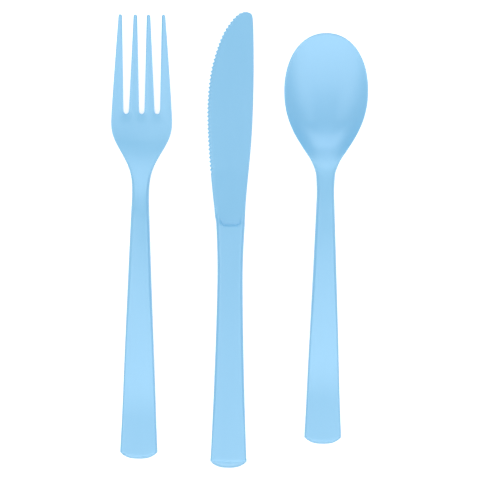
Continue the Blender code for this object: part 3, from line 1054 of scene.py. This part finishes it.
    def blade_place(self, column: int, line: int, face: Face) -> Vector:
        """Where a point of the blade lies.

        Args:
            column: The point's column, from the toothed edge to the back.
            line: Its cross line, counted from the bolster.
            face: The face that it lies on.

        Returns:
            The place.
        """
        share = self.blade_shares[line]
        start = self.edge.at(share)
        end = self.back.at(share)
        width = (end - start).length
        past_bolster = start.y - self.handle_length - self.bolster_step
        distance = self.blade_distance(column, line, face, width, past_bolster)
        across = 2.0 * distance / width - 1.0
        point = start.lerp(end, distance / width)
        point.y -= self.bolster_drawn(across, point.y - self.handle_length)
        flat = self.blade_thickness / 2
        middle = self.blade_base + flat
        last = self.columns - 1
        rises = {0: self.edge_thickness / 2, 1: mix(self.edge_thickness / 2, flat, self.bevel_bend)}
        if face is Face.UPPER:
            rises |= {last: flat - self.back_turn.drop(0), last - 1: flat - self.back_turn.drop(1)}
        rise = rises.get(column, flat)
        inward, _ = self.from_side(column)
        if face is Face.UNDERSIDE:
            settled = self.settled(inward, past_bolster) if inward < RINGS else 1.0
            return Vector((point.x, point.y, (middle - rise) * settled))
        height = middle + rise + self.root_rise * (1.0 - ease(share_of(past_bolster, 0.0, self.root_length)))
        bolster_top = self.bolster_depth + self.crown * (1.0 - across**2) - self.side_facet.drop(inward)
        if inward < RINGS:
            settled = self.settled(inward, past_bolster)
        else:
            run = self.side_runs[-1] * ease(share_of(abs(across), *self.step_span))
            settled = ease(share_of(past_bolster, self.run_start, run))
        return Vector((point.x, point.y, mix(bolster_top, height, settled)))

    def settled(self, ring: int, past_bolster: float) -> float:
        """How far a ring of the handle's sides has settled into the blade."""
        return ease(share_of(past_bolster, self.run_start, self.side_runs[ring]))

    def notch(self, line: int, past_bolster: float) -> float:
        """How far in the toothed edge lies at a cross line, between two teeth or where there are none.

        Args:
            line: The cross line, counted from the bolster.
            past_bolster: How far it starts past the bolster's step.

        Returns:
            The distance from the line of the teeth's tips.
        """
        if self.tooth_places[line] == 0.0:
            return self.toothless_inset * ease(share_of(past_bolster, 0.0, self.inset_length))
        return self.tooth_depth * abs(sin(pi * self.tooth_places[line]))

    def blade_distance(self, column: int, line: int, face: Face, width: float, past_bolster: float) -> float:
        """How far from the toothed edge a point of the blade lies.

        Args:
            column: The point's column.
            line: Its cross line, counted from the bolster.
            face: The face that it lies on.
            width: The blade's width there.
            past_bolster: How far the cross line starts past the bolster's step.

        Returns:
            The distance, along the cross line.
        """
        notch = self.notch(line, past_bolster)
        band = min(self.bevel_width, width / 3)
        back = self.back_turn.inward * min(1.0, width / self.slim_width)
        if face is Face.UNDERSIDE:
            back = band
        last = self.columns - 1
        inward, _ = self.from_side(column)
        if inward < RINGS:
            distances = {0: notch, 1: band * self.bevel_bend + notch * self.notch_share, 2: band}
            bend = width - back * self.back_turn.bend[0]
            distances |= {last: width, last - 1: bend, last - 2: width - back}
            inset = self.side_facet.inset(inward)
            if face is Face.UNDERSIDE:
                inset = (0.0, self.wall, self.wall + self.wall_draft)[inward]
            handle_distance = inset if column == inward else width - inset
            return mix(handle_distance, distances[column], self.settled(inward, past_bolster))
        part = (column - RINGS) / (last - 2 * RINGS)
        first, final = self.face_margins
        margin = self.side_facet.inward + self.top_margin
        handle_distance = mix(margin, width - margin, part)
        blade_distance = mix(band + width * first, width - back - width * final, part)
        return mix(handle_distance, blade_distance, self.settled(RINGS - 1, past_bolster))


@dataclass
class Spoon(ArchedMoulding):
    """The spoon: an oval bowl with a thin lip.

    Attributes:
        tip_length: From the bowl's widest place to the tip.
        bowl_width: Width of the bowl.
        bowl_lines: How many cross lines there are from the neck to the widest place.
        tip_lines: How many there are from there to the tip's turn.
        tip_margin: How far before the tip those end, in widths of the lip's turn.
        bowl_depth: Depth of the bowl.
        bowl_wall: Thickness of its wall.
        lip_depth: Height of its lip.
        mouth_from_neck: Where the bowl starts past the neck.
        outline_power: How square the bowl's outline is past its widest place.
        floor_power: How flat the bowl's floor is across.
        rise_power: How late its floor rises towards the tip.
        shoulder_shape: How the bowl widens, as shares of the way and of the widening.
    """

    name: str = "spoon_moulding"
    cad_node: str = "spoon"
    middle_x: float = 0.03605
    start_y: float = -0.0848
    columns: int = 27
    handle_length: float = 0.1040
    side_facet: Turn = Turn(0.0012, 0.0014)
    facet_span: tuple[float, float] = (0.0416, 0.0728)
    end_width: float = 0.0154
    neck_width: float = 0.0072
    opened_at: float = 0.1255
    foot_inset: float = 0.0005
    widest_at: float = 0.1470
    front_turn: Turn = Turn(0.00050, 0.00060)
    profile: SideProfile = SideProfile(
        flat_to=0.0265,
        crest_from=0.0920,
        crest_to=0.0990,
        belly_at=0.1350,
        tip_at=0.1712,
        heights=(0.0040, 0.0120, 0.0080, 0.0084),
    )
    tip_length: float = 0.0242
    bowl_width: float = 0.0349
    bowl_lines: int = 32
    tip_lines: int = 18
    tip_margin: float = 3.0
    bowl_depth: float = 0.0066
    bowl_wall: float = 0.0014
    lip_depth: float = 0.0013
    mouth_from_neck: float = 0.0040
    outline_power: float = 2.15
    floor_power: float = 2.3
    rise_power: float = 2.2
    shoulder_shape: tuple[tuple[float, float], ...] = (
        (0.0, 0.0), (0.18, 0.02), (0.30, 0.134), (0.456, 0.441),
        (0.61, 0.72), (0.765, 0.905), (0.9, 0.985), (1.0, 1.0),
    )

    def __post_init__(self) -> None:
        """Sets out the cross lines, of which those past the widest place are shares of the tip."""
        rows = self.handle_rows()
        rows += spaced(self.handle_length, self.widest_at, self.bowl_lines)
        self.tip_row = len(rows)
        insets = [self.front_turn.inset(ring) / self.tip_length for ring in (2, 1, 0)]
        self.tip_shares = spaced(0.0, 1.0 - insets[0] * self.tip_margin, self.tip_lines)
        self.tip_shares += [1.0 - inset for inset in insets]
        self.stations = rows + [self.widest_at + share * self.tip_length for share in self.tip_shares]

    def half(self, y: float) -> float:
        """Half the spoon's width.

        Args:
            y: The distance from the handle's end.

        Returns:
            Half the width there.
        """
        if y <= self.handle_length:
            return self.handle_half(y)
        if y <= self.widest_at:
            swell = through(self.shoulder_shape, share_of(y, self.handle_length, self.widest_at))
            return mix(self.neck_width, self.bowl_width, swell) / 2
        forward = share_of(y, self.widest_at, self.widest_at + self.tip_length)
        return self.bowl_width / 2 * (1.0 - forward**self.outline_power) ** (1.0 / self.outline_power)

    def bowl_top(self, x: float, y: float) -> float:
        """Height inside the bowl, which is deepest at the belly and shallows all round.

        Args:
            x: The distance from the middle line.
            y: The distance from the handle's end.

        Returns:
            The height above the table.
        """
        mouth = self.handle_length + self.mouth_from_neck
        depth = self.bowl_depth * ease(share_of(y, mouth, self.profile.belly_at))
        depth *= 1.0 - share_of(y, self.profile.belly_at, self.profile.tip_at) ** self.rise_power
        half = self.half(y)
        outward = min(1.0, abs(x) / half) if half > 0.0 else 1.0
        return self.profile.height(y) - depth * (1.0 - outward**self.floor_power)

    def place(self, column: int, row: int, face: Face) -> Vector:
        """Where a point of the grid lies, from the middle of the handle's end.

        Args:
            column: The point's column.
            row: Its row.
            face: The face that it lies on.

        Returns:
            The place.
        """
        if row >= self.tip_row:
            return self.tip_place(column, row, face)
        y = self.stations[row]
        half = self.half(y)
        opened = self.opened(y)
        turn = self.turn(y)
        top = self.profile.height(y)
        inward, _ = self.from_side(column)
        if face is Face.UPPER:
            x = self.upper_across(column, row, half, turn)
            handle = top + self.crown * (1.0 - (x / half) ** 2)
            drop = max(turn.drop(inward), self.end_turn().drop(row))
            z = mix(handle, self.bowl_top(x, y), opened) - drop
        else:
            x = self.lower_across(column, row, half, mix(self.wall, self.foot_inset, opened))
            foot = min(inward, row) < 2
            handle = top - (self.rim_depth if foot else self.wall)
            wall = self.lip_depth if inward == 0 else self.bowl_wall
            z = mix(handle, self.bowl_top(x, y) - wall, opened)
        place = Vector((x, self.along(column, row, face), z))
        place.y += self.bowed(place.y, x, half)
        return place

    def tip_place(self, column: int, row: int, face: Face) -> Vector:
        """Where a point past the bowl's widest place lies.

        Args:
            column: The point's column.
            row: Its row.
            face: The face that it lies on.

        Returns:
            The place.
        """
        half = self.bowl_width / 2
        inward, sign = self.from_side(column)
        outward = len(self.stations) - 1 - row
        ring = min(inward, outward)
        turn = self.front_turn
        if inward >= RINGS:
            across = (half - turn.inward - self.top_margin) * self.interior_share(column) / half
        elif inward <= outward:
            across = sign * (1.0 - turn.inset(inward) / half)
        else:
            across = sign * (1.0 - self.corner_across[inward] / half)
        forward = self.tip_shares[row - self.tip_row]
        if outward < RINGS:
            spread = turn.inset(outward) if outward <= inward else self.corner_across[outward]
            forward = 1.0 - spread / self.tip_length
        sideways, ahead = rounded_square(across, forward, self.outline_power)
        x = sideways * half
        y = self.widest_at + ahead * self.tip_length
        if face is Face.UPPER:
            return Vector((x, y, self.bowl_top(x, y) - turn.drop(ring)))
        wall = self.lip_depth if ring == 0 else self.bowl_wall
        return Vector((x, y, self.bowl_top(x, y) - wall))


@dataclass(frozen=True)
class Softbox:
    """A flat lamp that only shows as a soft reflection. It faces straight down, unless it is tilted.

    Attributes:
        name: The lamp's name.
        place: Where its middle is.
        size: Its width and its length.
        radiance: How bright its face is.
        tilt: How far it is turned up to face the tips, in degrees.
    """

    name: str
    place: tuple[float, float, float]
    size: tuple[float, float]
    radiance: float
    tilt: float = 0.0

    def build(self) -> bpy.types.Object:
        """Makes the lamp, hidden from the camera.

        Returns:
            The lamp.
        """
        data = bpy.data.lights.new(self.name, "AREA")
        data.shape = "RECTANGLE"
        data.size = self.size[0]
        data.size_y = self.size[1]
        data.energy = self.radiance * pi * self.size[0] * self.size[1]
        lamp = bpy.data.objects.new(self.name, data)
        lamp.location = self.place
        lamp.rotation_euler = (radians(self.tilt), 0.0, 0.0)
        lamp.visible_camera = False
        lamp.visible_diffuse = False
        bpy.context.scene.collection.objects.link(lamp)
        return lamp


@dataclass(frozen=True)
class Stage:
    """The white table, the lamps and the camera that looks straight down.

    Attributes:
        floor_size: Width of the table.
        floor_height: Height of its top, a hair below the pieces.
        floor_colour: Colour of the table.
        floor_glow: Brightness added for the camera and in reflections, so that it is plain white.
        surrounding: Brightness of the surroundings, except for the camera and in reflections.
        camera_at: Where the camera is.
        camera_roll: How far it is turned about its own axis, in degrees.
        lens: Its focal length, in millimetres.
        clip: The nearest and the furthest thing that it shows.
        lamps: The lamps.
    """

    floor_size: float = 4.0
    floor_height: float = -0.00003
    floor_colour: tuple[float, float, float, float] = (0.9, 0.9, 0.9, 1.0)
    floor_glow: float = 0.6
    surrounding: float = 0.97
    camera_at: tuple[float, float, float] = (0.00077, 0.00008, 1.0)
    camera_roll: float = 0.5
    lens: float = 179.2
    clip: tuple[float, float] = (0.05, 20.0)
    lamps: tuple[Softbox, ...] = (
        Softbox("key", (0.05, -0.95, 1.02), (3.2, 0.50), 4.2),
        Softbox("near", (0.05, -0.40, 1.02), (3.2, 0.60), 2.3),
        Softbox("over", (0.05, 0.62, 1.02), (0.77, 0.70), 0.8),
        Softbox("left", (-0.95, 0.02, 1.02), (1.2, 0.24), 1.8),
        Softbox("right", (1.05, 0.02, 1.02), (1.2, 0.24), 1.8),
        Softbox("back", (0.05, 1.70, 1.02), (3.2, 1.40), 2.8),
        Softbox("front", (0.05, -2.20, 0.55), (3.2, 0.90), 3.5, tilt=90.0),
    )

    def build(self) -> None:
        """Makes the table, the surroundings, the lamps and the camera."""
        self.floor()
        self.world()
        for lamp in self.lamps:
            lamp.build()
        self.camera()

    def floor(self) -> bpy.types.Object:
        """Makes the table top, which keeps the pieces' faint shadows.

        Returns:
            The table top, which is no part of the set.
        """
        mesh = bmesh.new()
        bmesh.ops.create_grid(mesh, x_segments=1, y_segments=1, size=self.floor_size / 2)
        bmesh.ops.translate(mesh, verts=mesh.verts[:], vec=(0.0, 0.0, self.floor_height))
        data = bpy.data.meshes.new("table_top")
        mesh.to_mesh(data)
        mesh.free()
        material = bpy.data.materials.new("white_table")
        material.use_nodes = True
        tree = material.node_tree
        tree.nodes.remove(tree.nodes["Principled BSDF"])
        diffuse = add_node(tree, "BsdfDiffuse", {"Color": self.floor_colour})
        glow = add_node(tree, "Emission")
        strength = add_node(tree, "Math")
        strength.operation = "MULTIPLY"
        strength.inputs[1].default_value = self.floor_glow
        tree.links.new(self.seen_directly(tree), strength.inputs[0])
        tree.links.new(strength.outputs["Value"], glow.inputs["Strength"])
        both = add_node(tree, "AddShader")
        tree.links.new(diffuse.outputs["BSDF"], both.inputs[0])
        tree.links.new(glow.outputs["Emission"], both.inputs[1])
        tree.links.new(both.outputs["Shader"], tree.nodes["Material Output"].inputs["Surface"])
        data.materials.append(material)
        floor = bpy.data.objects.new("table_top", data)
        bpy.context.scene.collection.objects.link(floor)
        return floor

    def seen_directly(self, tree: bpy.types.NodeTree) -> bpy.types.NodeSocket:
        """Tells the rays of the camera and of reflections from the others.

        Args:
            tree: The nodes that need to know.

        Returns:
            A socket that is 1 for those rays and 0 for the others.
        """
        rays = add_node(tree, "LightPath")
        seen = rays.outputs["Is Camera Ray"]
        for kind in ("Is Glossy Ray", "Is Transmission Ray"):
            larger = add_node(tree, "Math")
            larger.operation = "MAXIMUM"
            tree.links.new(seen, larger.inputs[0])
            tree.links.new(rays.outputs[kind], larger.inputs[1])
            seen = larger.outputs["Value"]
        return seen

    def world(self) -> bpy.types.World:
        """Makes the surroundings: white to the camera and in reflections, dimmer to everything else.

        Returns:
            The surroundings.
        """
        world = bpy.data.worlds.new("studio")
        world.use_nodes = True
        tree = world.node_tree
        background = tree.nodes["Background"]
        background.inputs["Color"].default_value = (1.0, 1.0, 1.0, 1.0)
        brightness = add_node(tree, "MapRange", {"To Min": self.surrounding, "To Max": 1.0})
        tree.links.new(self.seen_directly(tree), brightness.inputs["Value"])
        tree.links.new(brightness.outputs["Result"], background.inputs["Strength"])
        bpy.context.scene.world = world
        return world

    def camera(self) -> bpy.types.Object:
        """Makes the camera, straight above the set.

        Returns:
            The camera.
        """
        data = bpy.data.cameras.new("camera")
        data.lens = self.lens
        data.clip_start, data.clip_end = self.clip
        camera = bpy.data.objects.new("camera", data)
        camera.location = self.camera_at
        camera.rotation_euler = (0.0, 0.0, radians(self.camera_roll))
        bpy.context.scene.collection.objects.link(camera)
        bpy.context.scene.camera = camera
        return camera


def main() -> None:
    """Builds the three pieces, which log how many points and faces they have, and the stage."""
    bpy.context.scene.view_settings.view_transform = "Standard"
    finish = PlasticFinish()
    for moulding in (Fork(), Knife(), Spoon()):
        moulding.build(finish.build(f"{moulding.cad_node}_plastic"))
    Stage().build()
    bpy.context.view_layer.update()


if __name__ == "__main__":
    main()
